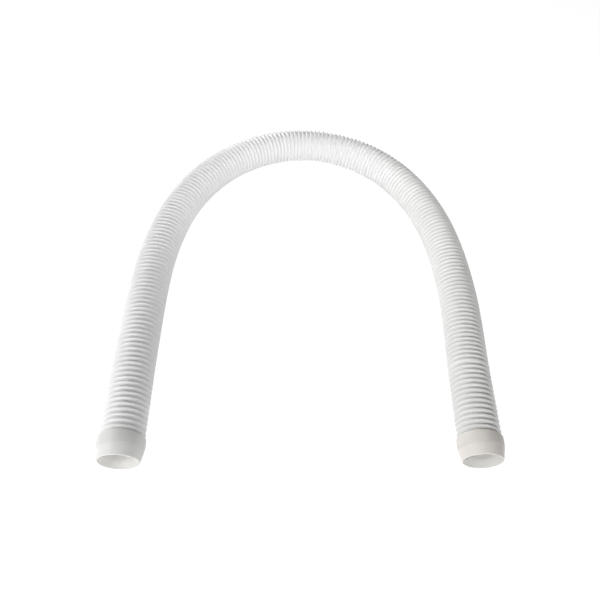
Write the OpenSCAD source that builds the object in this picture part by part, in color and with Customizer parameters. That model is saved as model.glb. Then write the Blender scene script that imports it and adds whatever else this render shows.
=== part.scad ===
// Ribbed vacuum hose for a pool or spa, lying in a U with a swivel cuff on each end.
// Millimetres, +Z up. The origin is on the ground under the middle of the U, whose ends point to -Y.
// Along a cuff, distances run from the last rib of the hose towards the mouth.

/* [Hose] */
// Outside diameter over the ribs
rib_d = 47.5; // [45:0.5:48.5]
// Bore of the hose
bore_d = 38; // [37:0.1:38]
// Depth of the groove between two ribs
groove_depth = 2.8; // [1.5:0.1:2.8]
// Number of ribs between the cuffs
rib_count = 192; // [150:1:192]
// Place of the one wide rib, counted from the right cuff
wide_rib = 14; // [8:1:140]
// How much wider that rib is than the rest
wide_rib_extra = 1.7; // [0:0.1:2]

/* [Cuffs] */
// Largest outside diameter, on the collar's crowned barrel
cuff_d = 49.6; // [49.4:0.1:51]
// Length from the last rib to the mouth
cuff_length = 27.5; // [26:0.5:40]
// Distance from the last rib to the line between collar and cuff
parting_line = 15.4; // [15:0.1:17]
// Bore of the mouth behind its flare, a slip fit for a 38 mm spigot
mouth_bore_d = 38.1; // [37:0.1:38.5]
// Outside diameter of the rounded lip at the mouth
lip_d = 43.4; // [42.2:0.1:44.4]
// Wall of the lip at its rim, where the bore flares out
rim_wall = 1.1; // [0.9:0.1:1.4]
// How far in from the rim the flare reaches
flare_depth = 8; // [5:0.5:10]

/* [Swivel] */
// Wall of the sleeve that is glued on the hose tail
sleeve_wall = 0.9; // [0.8:0.05:1]
// How far the thrust flange stands out from the sleeve
flange_height = 0.9; // [0.7:0.05:0.9]
// Radial clearance between the sleeve and what turns on it
running_gap = 0.08; // [0.05:0.01:0.1]
// How far the stop at the sleeve's floor stands in over the end of the hose
stop_height = 0.6; // [0.4:0.1:1]

/* [Hidden] */

hose_color = [0.86, 0.86, 0.85];
sleeve_color = [0.90, 0.90, 0.89];
collar_color = [0.75, 0.75, 0.73];
cuff_color = [0.79, 0.79, 0.77];
seal_color = [0.15, 0.15, 0.16];

rib_r = rib_d / 2;
bore_r = bore_d / 2;
groove_r = rib_r - groove_depth;
cuff_r = cuff_d / 2;
mouth_bore_r = mouth_bore_d / 2;
lip_r = lip_d / 2;

// The route of the hose. The curve is a cubic B-spline that starts at the second point and ends at
// the last but one. Each end has four points in line, so it leaves its cuff straight for one diameter.
route = [
    [-197.9, -282], [-197.6, -235.5], [-197.3, -189], [-197, -142.5], [-195.8, -96],
    [-194.6, -49], [-191.6, -3], [-184.6, 43], [-172.7, 88.7], [-154.9, 131.2],
    [-130.2, 170], [-97.6, 204.1], [-57.7, 229.4], [-13.8, 243.4], [33.2, 244.7], [79, 231.6],
    [118.8, 206.5], [149.9, 171.8], [172.4, 131.1], [187.3, 87], [195.4, 41], [198.3, -6],
    [198.4, -53], [194.8, -99], [189.9, -145], [186.7, -191.5], [183.5, -238], [180.3, -284.5]
];
last_point = len(route) - 1;

// The cuffs are fatter than the hose and hold its ends up. From the fifth point in it is down again.
sag = [1, 1, 1, 1, 0.75, 0.25];
function lift(i) = let (from_end = min(i, last_point - i)) from_end < len(sag) ? sag[from_end] : 0;
function route_point(i) = [route[i].x, route[i].y, rib_r + lift(i) * (cuff_r - rib_r)];

// One point of the spline: t runs from 0 to the number of spans
spans = last_point - 2;
function spline(t) =
    let (
        i = min(floor(t), spans - 1),
        f = t - i,
        g = 1 - f
    )
    (g * g * g * route_point(i)
        + (3 * f * f * f - 6 * f * f + 4) * route_point(i + 1)
        + (3 * g * g * g - 6 * g * g + 4) * route_point(i + 2)
        + f * f * f * route_point(i + 3)) / 6;

// Arc length: a table of lengths along short chords, read backwards by lookup()
chords_per_span = 12;
chord_count = spans * chords_per_span;
knots = [for (i = [0 : chord_count]) spline(i / chords_per_span)];
chords = [for (i = [0 : chord_count - 1]) norm(knots[i + 1] - knots[i])];
travel = [
    for (i = 0, sum = 0; i <= chord_count; sum = sum + (i < chord_count ? chords[i] : 0), i = i + 1) sum
];
ribbed_length = travel[chord_count];
t_of_length = [for (i = [0 : chord_count]) [travel[i], i / chords_per_span]];
rib_pitch = ribbed_length / rib_count;

// Places of the grooves and crests by turns, groove 0 first. The wide rib takes its extra width from
// the few ribs before it.
squeezed_ribs = 6;
wide_groove = 2 * (rib_count - wide_rib);
rib_shift = [[wide_groove - 2 * squeezed_ribs, 0], [wide_groove, -wide_rib_extra], [wide_groove + 2, 0]];
function rib_place(i) = i * rib_pitch / 2 + lookup(i, rib_shift);

// Ends of the ribbed part, and the way each mouth looks
start_point = spline(0);
end_point = spline(spans);
start_way = unit(route_point(0) - route_point(1));
end_way = unit(route_point(last_point) - route_point(last_point - 1));
function unit(v) = v / norm(v);

// A point on the centreline. Outside the ribbed part it runs on in line, into the cuffs.
function along(s) =
    s < 0 ? start_point - s * start_way
    : s > ribbed_length ? end_point + (s - ribbed_length) * end_way
    : spline(lookup(s, t_of_length));

// Unit vector along the hose, from the left end to the right end
tangent_step = 1;
function heading(s) = unit(along(s + tangent_step) - along(s - tangent_step));

// A ring of eight corners round the centreline. Its flats lie at the radius asked for, so the height,
// the width and the flat on the ground are those of a round hose.
sides = 8;
function ring(s, flat_r) =
    let (
        centre = along(s),
        ahead = heading(s),
        side = unit(cross([0, 0, 1], ahead)),
        up = cross(ahead, side),
        corner_r = flat_r / cos(180 / sides)
    )
    [
        for (i = [0 : sides - 1])
            let (a = (i + 0.5) * 360 / sides)
            centre + corner_r * (cos(a) * side + sin(a) * up)
    ];

// The cuff's pieces, as distances from the last rib
sleeve_start = 0.6;
tail_length = 11.2;
sleeve_end = 13;
collar_start = 0.9;
flange_start = 5.2;
flange_end = 7;
seal_start = 7.1;
seal_end = 9;
cuff_floor = 13.2;
end_play = 0.1;
bead_place = 11.6;
bead_width = 1.2;
bead_height = 0.3;

// Facets of the turned pieces in a preview or a mesh
revolve_facets = 96;

// Outline of the cuff: bevelled shoulder, crowned barrel, straight taper, rounded lip with a thin rim
shoulder_r = 22.8;
shoulder_end = 3.3;
crown_place = 7.5;
barrel_fall = 0.5;
barrel_steps = 6;
taper_step = 0.15;
edge_bevel = 0.2;
lip_round = 0.7;
lip_steps = 5;
rim_edge = 0.1;

// Radii of the swivel, from the inside out
tail_r = 21.25;
glue_gap = 0.05;
flange_gap = 0.1;
socket_r = tail_r + glue_gap;
sleeve_r = socket_r + sleeve_wall;
turning_r = sleeve_r + running_gap;
flange_r = sleeve_r + flange_height;
chamber_r = flange_r + flange_gap;
stop_r = bore_r - stop_height;
snap_gap = 0.02;

// Plain tails of the hose: the corners of the ring just fit the sleeve's socket
tail_flat_r = tail_r * cos(180 / sides);
tail_start = 0.3;

// Rings of the outside: a tail, then groove and rib in turn, then a tail
outer_stations = concat(
    [[-tail_length, tail_flat_r], [-tail_start, tail_flat_r]],
    [
        for (i = [0 : 2 * rib_count])
            [rib_place(i), i % 2 == 0 ? groove_r : rib_r]
    ],
    [[ribbed_length + tail_start, tail_flat_r], [ribbed_length + tail_length, tail_flat_r]]
);

// Rings of the bore, further apart, from tail end to tail end
bore_rings = 80;
bore_step = (ribbed_length + 2 * tail_length) / (bore_rings - 1);
bore_stations = [for (i = [0 : bore_rings - 1]) [-tail_length + i * bore_step, bore_r]];

// Points of a run of rings, and the triangles between two rings that start at points p and q
function ring_points(stations) = [for (station = stations) each ring(station[0], station[1])];
function band(p, q) = [
    for (i = [0 : sides - 1])
        let (j = (i + 1) % sides)
        each [[p + i, q + i, q + j], [p + i, q + j, p + j]]
];

module ribbed_hose() {
    outer_count = len(outer_stations);
    bore_first = outer_count * sides;
    bore_last = bore_first + (bore_rings - 1) * sides;
    points = concat(ring_points(outer_stations), ring_points(bore_stations));
    faces = concat(
        [for (k = [0 : outer_count - 2]) each band(k * sides, (k + 1) * sides)],
        [for (k = [0 : bore_rings - 2]) each band(bore_first + (k + 1) * sides, bore_first + k * sides)],
        band(bore_first, 0),
        band((outer_count - 1) * sides, bore_last)
    );
    color(hose_color)
        polyhedron(points = points, faces = faces, convexity = 10);
}

// Puts a cuff piece, drawn along +Z from the last rib, on one end of the hose
module at_end(place, way) {
    translate(place)
        rotate([90, 0, atan2(way.x, -way.y)])
            children();
}

module revolve(profile) {
    rotate_extrude($fn = revolve_facets)
        polygon(profile);
}

// Points of an arc, for a profile in [radius, distance]
function arc(centre, r, from, to, steps) = [
    for (i = [0 : steps])
        let (a = from + (to - from) * i / steps)
        centre + r * [cos(a), sin(a)]
];

// Sleeve: a socket for the hose tail with a stop at its floor, and a thrust flange outside
module swivel_sleeve() {
    edge = 0.2;
    color(sleeve_color)
        revolve([
            [socket_r, sleeve_start],
            [sleeve_r - edge, sleeve_start],
            [sleeve_r, sleeve_start + edge],
            [sleeve_r, flange_start],
            [flange_r - edge, flange_start],
            [flange_r, flange_start + edge],
            [flange_r, flange_end - edge],
            [flange_r - edge, flange_end],
            [sleeve_r, flange_end],
            [sleeve_r, sleeve_end - edge],
            [sleeve_r - edge, sleeve_end],
            [stop_r + edge, sleeve_end],
            [stop_r, sleeve_end - edge],
            [stop_r, tail_length + edge],
            [stop_r + edge, tail_length],
            [socket_r, tail_length]
        ]);
}

// Radius of the crowned barrel: largest at the crown, falling as a parabola to the parting line
function barrel_r(z) = cuff_r - barrel_fall * pow((z - crown_place) / (parting_line - crown_place), 2);

// Collar: a bevelled shoulder, the crowned barrel, a rear lip that runs on the sleeve behind the
// flange, and a chamber with a groove that the cuff snaps into
module retaining_collar() {
    bead_top = bead_height + snap_gap;
    thrust_face = flange_start - end_play;
    barrel_end = parting_line - edge_bevel;
    barrel = [
        for (i = [0 : barrel_steps])
            let (z = shoulder_end + (barrel_end - shoulder_end) * i / barrel_steps)
            [barrel_r(z), z]
    ];
    color(collar_color)
        revolve(concat(
            [[turning_r, collar_start], [shoulder_r, collar_start]],
            barrel,
            [
                [barrel_r(barrel_end) - edge_bevel, parting_line],
                [chamber_r, parting_line],
                [chamber_r, bead_place + bead_width / 2 + bead_top],
                [chamber_r + bead_top, bead_place + bead_width / 2],
                [chamber_r + bead_top, bead_place - bead_width / 2],
                [chamber_r, bead_place - bead_width / 2 - bead_top],
                [chamber_r, thrust_face],
                [turning_r, thrust_face]
            ]
        ));
}

// Cuff: a tongue with a snap bead inside the collar, and a tapered mouth with a rounded lip. The bore
// flares towards the rim, so a spigot finds its way in.
module cuff() {
    flare_r = lip_r - rim_wall;
    tongue_r = chamber_r - snap_gap;
    taper_r = barrel_r(parting_line) - taper_step;
    lip_start = cuff_length - lip_round;
    taper_angle = atan((taper_r - lip_r) / (lip_start - parting_line));
    color(cuff_color)
        revolve(concat(
            [
                [turning_r, seal_end],
                [tongue_r, seal_end],
                [tongue_r, bead_place - bead_width / 2 - bead_height],
                [tongue_r + bead_height, bead_place - bead_width / 2],
                [tongue_r + bead_height, bead_place + bead_width / 2],
                [tongue_r, bead_place + bead_width / 2 + bead_height],
                [tongue_r, parting_line],
                [taper_r - edge_bevel, parting_line],
                [taper_r, parting_line + edge_bevel]
            ],
            arc([lip_r - lip_round, lip_start], lip_round, taper_angle, 90, lip_steps),
            [
                [flare_r + rim_edge, cuff_length],
                [flare_r, cuff_length - rim_edge],
                [mouth_bore_r, cuff_length - flare_depth],
                [mouth_bore_r, cuff_floor],
                [turning_r, cuff_floor]
            ]
        ));
}

// Seal ring: a flat ring with bevelled corners, between the flange and the cuff's tongue
module seal_ring() {
    inner = sleeve_r + running_gap / 2;
    outer = chamber_r - running_gap / 2;
    bevel = 0.2;
    color(seal_color)
        revolve([
            [inner, seal_start + bevel],
            [inner + bevel, seal_start],
            [outer - bevel, seal_start],
            [outer, seal_start + bevel],
            [outer, seal_end],
            [inner, seal_end]
        ]);
}

module left_swivel_sleeve() at_end(start_point, start_way) swivel_sleeve();
module left_retaining_collar() at_end(start_point, start_way) retaining_collar();
module left_cuff() at_end(start_point, start_way) cuff();
module left_seal_ring() at_end(start_point, start_way) seal_ring();
module right_swivel_sleeve() at_end(end_point, end_way) swivel_sleeve();
module right_retaining_collar() at_end(end_point, end_way) retaining_collar();
module right_cuff() at_end(end_point, end_way) cuff();
module right_seal_ring() at_end(end_point, end_way) seal_ring();

echo(ribbed_length = ribbed_length, overall_length = ribbed_length + 2 * cuff_length, rib_pitch = rib_pitch);

ribbed_hose();
left_swivel_sleeve();
left_retaining_collar();
left_cuff();
left_seal_ring();
right_swivel_sleeve();
right_retaining_collar();
right_cuff();
right_seal_ring();
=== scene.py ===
import math

import bpy
import numpy as np
from mathutils import Matrix, Vector


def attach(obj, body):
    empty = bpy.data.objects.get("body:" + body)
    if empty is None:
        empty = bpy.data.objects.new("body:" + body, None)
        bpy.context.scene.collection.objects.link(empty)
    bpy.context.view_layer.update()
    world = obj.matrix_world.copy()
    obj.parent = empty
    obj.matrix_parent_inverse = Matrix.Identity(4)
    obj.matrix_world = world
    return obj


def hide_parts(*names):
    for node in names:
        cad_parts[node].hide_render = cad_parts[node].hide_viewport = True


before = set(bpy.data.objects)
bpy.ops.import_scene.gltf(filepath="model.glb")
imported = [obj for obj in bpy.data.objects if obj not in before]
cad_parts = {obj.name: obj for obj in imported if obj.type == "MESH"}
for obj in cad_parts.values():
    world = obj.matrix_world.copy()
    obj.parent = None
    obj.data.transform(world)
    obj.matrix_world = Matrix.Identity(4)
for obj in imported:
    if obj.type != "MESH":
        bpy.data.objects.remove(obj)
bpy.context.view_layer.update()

MM = 0.001

# ---------------------------------------------------------------- sizes, in millimetres

RIB_R = 23.75
GROOVE_R = 20.95
WALL = 1.0
BORE_R = 19.0
CUFF_R = 24.8
CUFF_LENGTH = 27.5
PARTING_LINE = 15.4
MOUTH_BORE_R = 19.05
LIP_R = 21.7
RIB_COUNT = 192
WIDE_RIB = 14
WIDE_RIB_EXTRA = 1.7
SQUEEZED_RIBS = 6

# Distances from the last rib towards the mouth, and radii of the swivel
TAIL_LENGTH = 11.2
TAIL_R = 21.25
TAIL_BORE_R = 19.6
TAIL_BLEND = 1.2
TURNING_R = 22.28
CHAMBER_R = 23.2
COLLAR_START = 0.9
THRUST_FACE = 5.1
TONGUE_START = 9.0
CUFF_FLOOR = 13.2

# Outline of the cuff
SHOULDER_R = 22.8
SHOULDER_END = 3.3
CROWN_PLACE = 7.5
BARREL_FALL = 0.5
TAPER_STEP = 0.15
EDGE_BEVEL = 0.2
LIP_ROUND = 0.7
RIM_WALL = 1.1
RIM_EDGE = 0.1
FLARE_DEPTH = 8.0
SEAM_GAP = 0.04

# The hose's route, as in the CAD source. The curve is a cubic B-spline that starts at the second
# point and ends at the last but one.
ROUTE = [
    (-0.1979, -0.282), (-0.1976, -0.2355), (-0.1973, -0.189), (-0.197, -0.1425),
    (-0.1958, -0.096), (-0.1946, -0.049), (-0.1916, -0.003), (-0.1846, 0.043), (-0.1727, 0.0887),
    (-0.1549, 0.1312), (-0.1302, 0.170), (-0.0976, 0.2041), (-0.0577, 0.2294), (-0.0138, 0.2434),
    (0.0332, 0.2447), (0.079, 0.2316), (0.1188, 0.2065), (0.1499, 0.1718), (0.1724, 0.1311),
    (0.1873, 0.087), (0.1954, 0.041), (0.1983, -0.006), (0.1984, -0.053), (0.1948, -0.099),
    (0.1899, -0.145), (0.1867, -0.1915), (0.1835, -0.238), (0.1803, -0.2845),
]
# The cuffs hold the ends of the hose up. These are the shares of that rise at the first points from
# either end. Further in, the hose lies on the ground.
RISE = (1, 1, 1, 1, 0.75, 0.25)

# ---------------------------------------------------------------- camera

AIM = Vector((-0.0038, -0.039, 0.0))
CAMERA_DISTANCE = 0.7345
CAMERA_ELEVATION = math.radians(53.76)
CAMERA_AZIMUTH = math.radians(-7.2)
CAMERA_ROLL = math.radians(6.53)
FOCAL_SHARE = 561.5 / 600  # focal length over the width of the frame
SENSOR = 36.0
CLIP = (0.01, 20)


def make_camera():
    camera = bpy.data.objects.new("camera", bpy.data.cameras.new("camera"))
    bpy.context.scene.collection.objects.link(camera)
    back = Vector((
        math.sin(CAMERA_AZIMUTH) * math.cos(CAMERA_ELEVATION),
        -math.cos(CAMERA_AZIMUTH) * math.cos(CAMERA_ELEVATION),
        math.sin(CAMERA_ELEVATION),
    ))
    level = back.to_track_quat("Z", "Y").to_matrix().to_4x4()
    place = Matrix.Translation(AIM + back * CAMERA_DISTANCE)
    camera.matrix_world = place @ level @ Matrix.Rotation(CAMERA_ROLL, 4, "Z")
    camera.data.sensor_width = SENSOR
    camera.data.lens = SENSOR * FOCAL_SHARE
    camera.data.clip_start, camera.data.clip_end = CLIP
    bpy.context.scene.camera = camera


# ---------------------------------------------------------------- route

CHORDS_PER_SPAN = 48
TANGENT_STEP = 0.5  # in millimetres


def route_points():
    points = []
    for i, (x, y) in enumerate(ROUTE):
        from_end = min(i, len(ROUTE) - 1 - i)
        rise = RISE[from_end] if from_end < len(RISE) else 0
        points.append((x, y, (RIB_R + rise * (CUFF_R - RIB_R)) * MM))
    return np.array(points)


def spline(points, t):
    """Points of the uniform cubic B-spline. The parameters t run from 0 to the number of spans."""
    spans = len(points) - 3
    i = np.minimum(np.floor(t).astype(int), spans - 1)
    f = (t - i)[:, None]
    g = 1 - f
    return (
        g**3 * points[i]
        + (3 * f**3 - 6 * f**2 + 4) * points[i + 1]
        + (3 * g**3 - 6 * g**2 + 4) * points[i + 2]
        + f**3 * points[i + 3]
    ) / 6


class Route:
    """The centreline by arc length, in metres. Before 0 and past the length it runs on straight."""

    def __init__(self):
        self.points = route_points()
        spans = len(self.points) - 3
        self.t = np.linspace(0, spans, spans * CHORDS_PER_SPAN + 1)
        fine = spline(self.points, self.t)
        chords = np.linalg.norm(np.diff(fine, axis=0), axis=1)
        self.travel = np.concatenate([[0], np.cumsum(chords)])
        self.length = self.travel[-1]
        self.ends = (fine[0], fine[-1])
        ways = (self.points[0] - self.points[1], self.points[-1] - self.points[-2])
        self.ways = tuple(way / np.linalg.norm(way) for way in ways)

    def at(self, s):
        s = np.asarray(s, float)
        inside = np.clip(s, 0, self.length)
        place = spline(self.points, np.interp(inside, self.travel, self.t))
        before = np.maximum(-s, 0)[:, None] * self.ways[0]
        after = np.maximum(s - self.length, 0)[:, None] * self.ways[1]
        return place + before + after

    def frames(self, s):
        """Centres, side vectors and up vectors of the rings at the lengths s."""
        step = TANGENT_STEP * MM
        ahead = self.at(s + step) - self.at(s - step)
        ahead /= np.linalg.norm(ahead, axis=1)[:, None]
        side = np.cross((0.0, 0.0, 1.0), ahead)
        side /= np.linalg.norm(side, axis=1)[:, None]
        return self.at(s), side, np.cross(ahead, side)


# ---------------------------------------------------------------- mesh helpers

def mesh_object(name, points, faces, material, values=None):
    mesh = bpy.data.meshes.new(name)
    mesh.from_pydata([tuple(p) for p in points], [], [tuple(f) for f in faces])
    mesh.polygons.foreach_set("use_smooth", [True] * len(mesh.polygons))
    for key, numbers in (values or {}).items():
        layer = mesh.attributes.new(key, "FLOAT", "POINT")
        layer.data.foreach_set("value", np.asarray(numbers, np.float32).ravel())
    mesh.materials.append(material)
    mesh.validate()
    mesh.update()
    piece = bpy.data.objects.new(name, mesh)
    bpy.context.scene.collection.objects.link(piece)
    return piece


def grid_faces(rows, columns, first=0, flip=False):
    """Quads of a tube whose rings have `columns` points, ring after ring."""
    r, c = np.meshgrid(np.arange(rows - 1), np.arange(columns), indexing="ij")
    here = first + r * columns + c
    beside = first + r * columns + (c + 1) % columns
    quads = np.stack([here, beside, beside + columns, here + columns], -1).reshape(-1, 4)
    return quads[:, ::-1] if flip else quads


# ---------------------------------------------------------------- the ribbed hose

RING_SIDES = 64
OUTER_STEPS_PER_RIB = 10
INNER_STEPS_PER_RIB = 6
RIB_SHARPNESS = 1.1  # above 1 a crest is narrower than a groove
RUN_OUT = 0.25  # the part of a pitch in which the ribs begin and end
PATH_POINTS = 400  # along the centreline from end to end, which ribbed_hose computes


def rib_phase(s, length):
    """Ribs counted along the hose, a whole number in each groove. One rib is wider than the rest,
    has a flat crest and takes its extra width from the ribs before it."""
    pitch = length / RIB_COUNT
    extra = WIDE_RIB_EXTRA * MM
    wide = RIB_COUNT - WIDE_RIB
    squeezed = wide - SQUEEZED_RIBS
    start = wide * pitch - extra
    crest = start + pitch / 2
    places = [0, squeezed * pitch, start, crest, crest + extra, (wide + 1) * pitch, length]
    phases = [0, squeezed, wide, wide + 0.5, wide + 0.5, wide + 1, RIB_COUNT]
    return np.interp(s, places, phases)


def rib_height(s, length):
    """Height of the ribs from 0 in the grooves to 1 on the crests, and 0 on the tails."""
    wave = 0.5 - 0.5 * np.cos(2 * np.pi * rib_phase(s, length))
    run_out = np.clip(np.minimum(s, length - s) / (RUN_OUT * length / RIB_COUNT), 0, 1)
    return wave**RIB_SHARPNESS * run_out


def ribbed_wall(route, steps, groove_r, rib_r, tail_r):
    """Points and rib heights of one wall of the hose, ring by ring, and the number of rings."""
    tail = TAIL_LENGTH * MM
    ribbed = np.linspace(0, route.length, RIB_COUNT * steps + 1)
    before = np.array([-tail, -TAIL_BLEND * MM, -0.5 * TAIL_BLEND * MM])
    s = np.concatenate([before, ribbed, route.length - before[::-1]])
    centre, side, up = route.frames(s)
    angle = np.linspace(0, 2 * np.pi, RING_SIDES, endpoint=False)[None, :, None]
    height = np.repeat(rib_height(s, route.length)[:, None], RING_SIDES, axis=1)
    radius = groove_r + (rib_r - groove_r) * height
    radius[(s < 0) | (s > route.length)] = tail_r
    ring = np.cos(angle) * side[:, None, :] + np.sin(angle) * up[:, None, :]
    points = centre[:, None, :] + radius[:, :, None] * MM * ring
    return points.reshape(-1, 3), height.ravel(), len(s)


def ribbed_hose(route, material):
    """One closed mesh: the ribbed outside, the ribbed bore, and a flat ring at each end."""
    outer, outer_height, outer_rings = ribbed_wall(
        route, OUTER_STEPS_PER_RIB, GROOVE_R, RIB_R, TAIL_R
    )
    inner, inner_height, inner_rings = ribbed_wall(
        route, INNER_STEPS_PER_RIB, BORE_R, RIB_R - WALL, TAIL_BORE_R
    )
    first_inner = len(outer)
    last_outer = first_inner - RING_SIDES
    last_inner = first_inner + len(inner) - RING_SIDES
    ends = []
    for k in range(RING_SIDES):
        n = (k + 1) % RING_SIDES
        ends.append((k, first_inner + k, first_inner + n, n))
        ends.append((last_outer + k, last_outer + n, last_inner + n, last_inner + k))
    faces = np.concatenate([
        grid_faces(outer_rings, RING_SIDES),
        grid_faces(inner_rings, RING_SIDES, first_inner, flip=True),
        np.array(ends),
    ])
    points = np.concatenate([outer, inner])
    values = {
        "rib_height": np.concatenate([outer_height, inner_height]),
        "inside": np.concatenate([np.zeros(len(outer)), np.ones(len(inner))]),
    }
    piece = mesh_object("ribbed_hose_wall", points, faces, material, values)
    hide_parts("ribbed_hose")
    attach(piece, "root")
    tail = TAIL_LENGTH * MM
    path = route.at(np.linspace(-tail, route.length + tail, PATH_POINTS))


# ---------------------------------------------------------------- turned cuff pieces

LATHE_SIDES = 144
FILLET_STEPS = 4
FILLET_REACH = 0.45  # the most that a fillet takes of the sides next to it
TOLERANCE = 0.01
BARREL_STEPS = 16
LIP_STEPS = 10
SHARP_ANGLE = math.radians(35)

# Fillets of the profiles, in millimetres
FINE = 0.05
EDGE = 0.1
LEDGE = 0.2
HEEL = 0.25
SHOULDER = 0.5
THROAT = 1.5


def rounded(profile):
    """The line of a closed profile of (radius, distance, fillet) corners, each one rounded."""
    corners = [np.array(p[:2], float) for p in profile]
    result = []
    for i, (corner, (_, _, fillet)) in enumerate(zip(corners, profile)):
        before = corners[i - 1] - corner
        after = corners[(i + 1) % len(corners)] - corner
        sides = np.linalg.norm(before), np.linalg.norm(after)
        reach = min(fillet, FILLET_REACH * sides[0], FILLET_REACH * sides[1])
        if reach < TOLERANCE:
            result.append(corner)
            continue
        a = corner + reach * before / sides[0]
        b = corner + reach * after / sides[1]
        for t in np.linspace(0, 1, FILLET_STEPS + 1):
            result.append((1 - t) ** 2 * a + 2 * t * (1 - t) * corner + t**2 * b)
    return np.array(result)


def turned(name, end, profile, material, body, node):
    """A piece of revolution about the axis of one end. Its distances run towards the mouth."""
    place, way = end
    line = rounded(profile)
    side = np.cross((0.0, 0.0, 1.0), way)
    side /= np.linalg.norm(side)
    up = np.cross(way, side)
    angle = np.linspace(0, 2 * np.pi, LATHE_SIDES, endpoint=False)
    ring = np.cos(angle)[:, None] * side + np.sin(angle)[:, None] * up
    points = (
        place
        + line[:, None, 1:2] * MM * way
        + line[:, None, 0:1] * MM * ring[None]
    ).reshape(-1, 3)
    rows = len(line)
    faces = grid_faces(rows + 1, LATHE_SIDES) % (rows * LATHE_SIDES)
    inside = np.repeat(line[:, 0] < LIP_R - RIM_WALL + TOLERANCE, LATHE_SIDES)
    piece = mesh_object(name, points, faces, material, {"inside": inside})
    smooth_by_angle(piece)
    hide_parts(node)
    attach(piece, body)


def smooth_by_angle(piece):
    """Marks the edges where the surface turns by more than SHARP_ANGLE as sharp."""
    mesh = piece.data
    normal = np.zeros(len(mesh.polygons) * 3)
    mesh.polygons.foreach_get("normal", normal)
    normal = normal.reshape(-1, 3)
    first = {}
    sharp = np.zeros(len(mesh.edges), bool)
    for polygon in mesh.polygons:
        for key in polygon.loop_indices:
            edge = mesh.loops[key].edge_index
            if edge in first:
                other = first[edge]
                sharp[edge] = normal[polygon.index] @ normal[other] < math.cos(SHARP_ANGLE)
            else:
                first[edge] = polygon.index
    layer = mesh.attributes.new("sharp_edge", "BOOLEAN", "EDGE")
    layer.data.foreach_set("value", sharp)


def barrel_r(z):
    """Radius of the collar's crowned barrel."""
    return CUFF_R - BARREL_FALL * ((z - CROWN_PLACE) / (PARTING_LINE - CROWN_PLACE)) ** 2


def collar_profile():
    """Bevelled shoulder, crowned barrel and the chamber behind the thrust face."""
    barrel_end = PARTING_LINE - EDGE_BEVEL
    barrel = [(barrel_r(z), z, 0) for z in np.linspace(SHOULDER_END, barrel_end, BARREL_STEPS + 1)]
    barrel[0] = (barrel_r(SHOULDER_END), SHOULDER_END, SHOULDER)
    barrel[-1] = (barrel_r(barrel_end), barrel_end, EDGE)
    seam = PARTING_LINE - SEAM_GAP
    return [
        (TURNING_R, COLLAR_START, EDGE),
        (SHOULDER_R, COLLAR_START, HEEL),
        *barrel,
        (barrel_r(barrel_end) - EDGE_BEVEL, seam, FINE),
        (CHAMBER_R, seam, FINE),
        (CHAMBER_R, THRUST_FACE, FINE),
        (TURNING_R, THRUST_FACE, FINE),
    ]


def cuff_profile():
    """Tongue inside the collar, straight taper, rounded lip, flared mouth and bore."""
    taper_r = barrel_r(PARTING_LINE) - TAPER_STEP
    lip_start = CUFF_LENGTH - LIP_ROUND
    slope = math.atan((taper_r - LIP_R) / (lip_start - PARTING_LINE))
    lip = [
        (LIP_R - LIP_ROUND + LIP_ROUND * math.cos(a), lip_start + LIP_ROUND * math.sin(a), 0)
        for a in np.linspace(slope, math.pi / 2, LIP_STEPS + 1)
    ]
    tongue_r = CHAMBER_R - SEAM_GAP
    flare_r = LIP_R - RIM_WALL
    return [
        (TURNING_R, TONGUE_START, FINE),
        (tongue_r, TONGUE_START, EDGE),
        (tongue_r, PARTING_LINE, 0),
        (taper_r - EDGE_BEVEL, PARTING_LINE, FINE),
        (taper_r, PARTING_LINE + EDGE_BEVEL, EDGE),
        *lip,
        (flare_r + RIM_EDGE, CUFF_LENGTH, FINE),
        (flare_r, CUFF_LENGTH - RIM_EDGE, FINE),
        (MOUTH_BORE_R, CUFF_LENGTH - FLARE_DEPTH, THROAT),
        (MOUTH_BORE_R, CUFF_FLOOR, LEDGE),
        (TURNING_R, CUFF_FLOOR, EDGE),
    ]


# ---------------------------------------------------------------- materials

# The outside is greyer than the bores. The bores' lighter colour is painted light: it stands for
# light that shines in through the thin translucent walls.
BORE_LIT_THROUGH_WALL = (0.915, 0.905, 0.88)
HOSE = ((0.83, 0.83, 0.83), (0.87, 0.87, 0.87))
HOSE_YELLOWED = ((0.832, 0.832, 0.815), (0.872, 0.872, 0.855))
# Painted shade in the grooves: the first colour at the left end, the second at the right end.
GROOVE_SHADE = ((0.77, 0.77, 0.765), (0.665, 0.665, 0.655))
COLLAR = ((0.715, 0.713, 0.698), (0.765, 0.763, 0.748))
CUFF = ((0.76, 0.758, 0.743), (0.80, 0.798, 0.783))
SLEEVE = ((0.88, 0.88, 0.87), (0.91, 0.91, 0.90))
SEAL = ((0.03, 0.03, 0.032), (0.05, 0.05, 0.052))
# The hose is a little yellower towards its right end, and the painted shade in its grooves gets
# darker there. The right cuff is yellower.
YELLOWING_AND_SHADE_SPAN = (0.1, 0.2)  # from where to where it gets so, in metres to the right of the origin
YELLOWING = {"left": (1.0, 1.0, 1.0), "right": (1.03, 0.985, 0.955)}
GROOVE_SHADE_HEIGHT = 0.35  # the share of a rib's height that the painted groove shade reaches

# Noise: features per metre, and the part of its range in use
HOSE_PATCHES, CUFF_PATCHES, PATCH_RANGE = 9.0, 30.0, (0.35, 0.7)
HOSE_SMEARS, CUFF_SMEARS, SMEAR_RANGE = 60.0, 120.0, (0.3, 0.7)
HOSE_ROUGHNESS, CUFF_ROUGHNESS = (0.38, 0.52), (0.4, 0.55)
PORES, PORE_DEPTH, PORE_STRENGTH = 2500.0, 0.05 * MM, 0.15
NOISE_DETAIL, PORE_DETAIL = 4, 2


def new_material(name):
    material = bpy.data.materials.new(name)
    material.use_nodes = True
    return material, material.node_tree, material.node_tree.nodes["Principled BSDF"]


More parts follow.
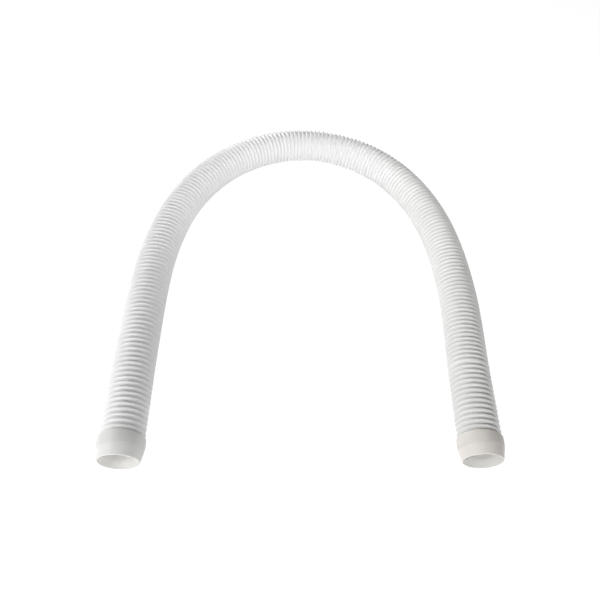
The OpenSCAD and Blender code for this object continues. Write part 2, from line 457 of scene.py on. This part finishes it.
def noise(tree, scale, detail=NOISE_DETAIL):
    source = tree.nodes.new("ShaderNodeTexCoord")
    texture = tree.nodes.new("ShaderNodeTexNoise")
    texture.inputs["Scale"].default_value = scale
    texture.inputs["Detail"].default_value = detail
    tree.links.new(source.outputs["Object"], texture.inputs["Vector"])
    return texture.outputs["Fac"]


def across(tree):
    """How far to the right a point of the object lies, in metres."""
    source = tree.nodes.new("ShaderNodeTexCoord")
    split = tree.nodes.new("ShaderNodeSeparateXYZ")
    tree.links.new(source.outputs["Object"], split.inputs["Vector"])
    return split.outputs["X"]


def stored(tree, name):
    """A number that the mesh stores at each point."""
    node = tree.nodes.new("ShaderNodeAttribute")
    node.attribute_name = name
    return node.outputs["Fac"]


def mapped(tree, value, taken, given=(0, 1)):
    """The range taken, stretched to the range given and cut off at its ends."""
    node = tree.nodes.new("ShaderNodeMapRange")
    for end, (low, high) in (("From", taken), ("To", given)):
        node.inputs[end + " Min"].default_value = low
        node.inputs[end + " Max"].default_value = high
    tree.links.new(value, node.inputs["Value"])
    return node.outputs["Result"]


def mixed(tree, share, first, second):
    """From the first colour to the second. Each is a tuple or the output of another node."""
    node = tree.nodes.new("ShaderNodeMix")
    node.data_type = "RGBA"
    tree.links.new(share, node.inputs["Factor"])
    for socket, value in ((node.inputs["A"], first), (node.inputs["B"], second)):
        if isinstance(value, tuple):
            socket.default_value = (*value, 1)
        else:
            tree.links.new(value, socket)
    return node.outputs["Result"]


def finish_plastic(tree, shader, outside, smears, roughness):
    """Colour outside and in the bore, a gloss that varies in smears, and fine pores."""
    # In the bore the colour is painted lighter: painted light for the light that shines through the
    # thin walls.
    colour = mixed(tree, stored(tree, "inside"), outside, BORE_LIT_THROUGH_WALL)
    tree.links.new(colour, shader.inputs["Base Color"])
    rough = mapped(tree, noise(tree, smears), SMEAR_RANGE, roughness)
    tree.links.new(rough, shader.inputs["Roughness"])
    bump = tree.nodes.new("ShaderNodeBump")
    bump.inputs["Distance"].default_value = PORE_DEPTH
    bump.inputs["Strength"].default_value = PORE_STRENGTH
    tree.links.new(noise(tree, PORES, PORE_DETAIL), bump.inputs["Height"])
    tree.links.new(bump.outputs["Normal"], shader.inputs["Normal"])


def hose_material():
    material, tree, shader = new_material("hose_plastic")
    patches = mapped(tree, noise(tree, HOSE_PATCHES), PATCH_RANGE)
    # From the left end to the right: the hose's yellowing, and its painted groove shade growing
    # darker.
    yellowing_and_shade = mapped(tree, across(tree), YELLOWING_AND_SHADE_SPAN)
    fresh = mixed(tree, patches, *HOSE)
    yellowed = mixed(tree, patches, *HOSE_YELLOWED)
    body = mixed(tree, yellowing_and_shade, fresh, yellowed)
    # Painted shade in the grooves, darker towards the right end.
    groove_shade = mixed(tree, yellowing_and_shade, *GROOVE_SHADE)
    in_groove = mapped(tree, stored(tree, "rib_height"), (0, GROOVE_SHADE_HEIGHT), (1, 0))
    outside = mixed(tree, in_groove, body, groove_shade)
    finish_plastic(tree, shader, outside, HOSE_SMEARS, HOSE_ROUGHNESS)
    return material


def cuff_material(name, shades, tint=(1.0, 1.0, 1.0)):
    """Plastic or rubber of a cuff's piece: patches between two shades, both multiplied by tint."""
    material, tree, shader = new_material(name)
    patches = mapped(tree, noise(tree, CUFF_PATCHES), PATCH_RANGE)
    dark, light = (
        tuple(level * share for level, share in zip(shade, tint)) for shade in shades
    )
    outside = mixed(tree, patches, dark, light)
    finish_plastic(tree, shader, outside, CUFF_SMEARS, CUFF_ROUGHNESS)
    return material


def dress(node, material):
    """A new material for a CAD node that keeps its own shape."""
    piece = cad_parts[node]
    piece.data.materials.clear()
    piece.data.materials.append(material)


# ---------------------------------------------------------------- studio

FLOOR_SIDE = 12.0
FLOOR_GREY = 0.8
FLOOR_SHADOW_GREY = 0.25  # what the camera sees of the lamps' light and the object's shadow
FLOOR_LIFT = 0.94
WORLD_LEVEL = 0.01


def shader_node(tree, kind, grey=None):
    node = tree.nodes.new(kind)
    if grey is not None:
        node.inputs["Color"].default_value = (grey, grey, grey, 1)
    return node


def joined(tree, kind, first, second):
    """A shader that adds or mixes two others, which go into the last two inputs of either kind."""
    node = tree.nodes.new(kind)
    tree.links.new(first.outputs[0], node.inputs[-2])
    tree.links.new(second.outputs[0], node.inputs[-1])
    return node


def floor_material():
    """A plain diffuse floor to the object. The camera and reflections see it lifted to white."""
    material = bpy.data.materials.new("studio_floor")
    material.use_nodes = True
    tree = material.node_tree
    tree.nodes.clear()
    plain = shader_node(tree, "ShaderNodeBsdfDiffuse", FLOOR_GREY)
    soft = shader_node(tree, "ShaderNodeBsdfDiffuse", FLOOR_SHADOW_GREY)
    lift = shader_node(tree, "ShaderNodeEmission")
    lift.inputs["Strength"].default_value = FLOOR_LIFT
    shown = joined(tree, "ShaderNodeAddShader", soft, lift)
    path = tree.nodes.new("ShaderNodeLightPath")
    either = tree.nodes.new("ShaderNodeMath")
    either.operation = "ADD"
    either.use_clamp = True
    tree.links.new(path.outputs["Is Camera Ray"], either.inputs[0])
    tree.links.new(path.outputs["Is Glossy Ray"], either.inputs[1])
    mix = joined(tree, "ShaderNodeMixShader", plain, shown)
    tree.links.new(either.outputs[0], mix.inputs["Fac"])
    out = tree.nodes.new("ShaderNodeOutputMaterial")
    tree.links.new(mix.outputs[0], out.inputs["Surface"])
    return material


def make_floor():
    half = FLOOR_SIDE / 2
    corners = [(-half, -half, 0), (half, -half, 0), (half, half, 0), (-half, half, 0)]
    mesh = bpy.data.meshes.new("studio_floor")
    mesh.from_pydata(corners, [], [(0, 1, 2, 3)])
    floor = bpy.data.objects.new("studio_floor", mesh)
    bpy.context.scene.collection.objects.link(floor)
    mesh.materials.append(floor_material())


# Soft lamps: name, place in metres, and level. The level is the share of white that a white wall
# facing the lamp at the origin shows by its light alone.
LAMPS = [
    ("front_lamp", (0.0, -1.8, 0.13), 0.27),
    ("low_left_lamp", (-0.89, -1.53, 0.31), 0.13),
    ("front_left_lamp", (-1.3, -1.3, 0.9), 0.14),
    ("front_right_lamp", (0.83, -1.45, 0.67), 0.28),
    ("left_lamp", (-1.46, 0.0, 1.06), 0.22),
    ("near_left_lamp", (-0.65, -0.5, 0.3), 0.15),
    ("back_left_lamp", (-1.3, 1.2, 0.3), 0.44),
    ("bend_lamp", (0.3, 0.3, 0.6), 0.3),
    ("inner_lamp", (0.0, 0.1, 0.25), 0.26),
]
LAMP_SPREAD = 1 / 3


def soft_lamp(name, place, level):
    """A round lamp that looks at the origin. Its width is a third of its distance."""
    place = Vector(place)
    light = bpy.data.lights.new(name, "AREA")
    light.shape = "DISK"
    light.size = LAMP_SPREAD * place.length
    light.energy = level * math.pi**2 * place.length**2
    lamp = bpy.data.objects.new(name, light)
    bpy.context.scene.collection.objects.link(lamp)
    lamp.location = place
    lamp.rotation_mode = "QUATERNION"
    lamp.rotation_quaternion = place.to_track_quat("Z", "Y")
    lamp.visible_camera = False


def make_world():
    """Hardly any light from all round, and white where the camera looks past the floor."""
    world = bpy.data.worlds.new("studio")
    bpy.context.scene.world = world
    world.use_nodes = True
    tree = world.node_tree
    tree.nodes.clear()
    ambient = shader_node(tree, "ShaderNodeBackground", 1)
    ambient.inputs["Strength"].default_value = WORLD_LEVEL
    white = shader_node(tree, "ShaderNodeBackground", 1)
    mix = joined(tree, "ShaderNodeMixShader", ambient, white)
    path = tree.nodes.new("ShaderNodeLightPath")
    tree.links.new(path.outputs["Is Camera Ray"], mix.inputs["Fac"])
    out = tree.nodes.new("ShaderNodeOutputWorld")
    tree.links.new(mix.outputs[0], out.inputs["Surface"])


# ---------------------------------------------------------------- build

def cuff_end(side_name, end, sleeve_plastic, seal_rubber):
    """The pieces of one end: two new shells, and two CAD nodes that only get their material."""
    body = side_name + "_swivel"
    tint = YELLOWING[side_name]
    collar_plastic = cuff_material(side_name + "_collar_plastic", COLLAR, tint)
    cuff_plastic = cuff_material(side_name + "_cuff_plastic", CUFF, tint)
    turned(
        side_name + "_collar_shell", end, collar_profile(), collar_plastic,
        body, side_name + "_retaining_collar",
    )
    turned(
        side_name + "_cuff_shell", end, cuff_profile(), cuff_plastic,
        body, side_name + "_cuff",
    )
    dress(side_name + "_swivel_sleeve", sleeve_plastic)
    dress(side_name + "_seal_ring", seal_rubber)


make_camera()
route = Route()
ribbed_hose(route, hose_material())
sleeve_plastic = cuff_material("sleeve_plastic", SLEEVE)
seal_rubber = cuff_material("seal_rubber", SEAL)
for side_name, end in zip(("left", "right"), zip(route.ends, route.ways)):
    cuff_end(side_name, end, sleeve_plastic, seal_rubber)
make_floor()
make_world()
for name, place, level in LAMPS:
    soft_lamp(name, place, level)
bpy.context.scene.view_settings.view_transform = "Standard"
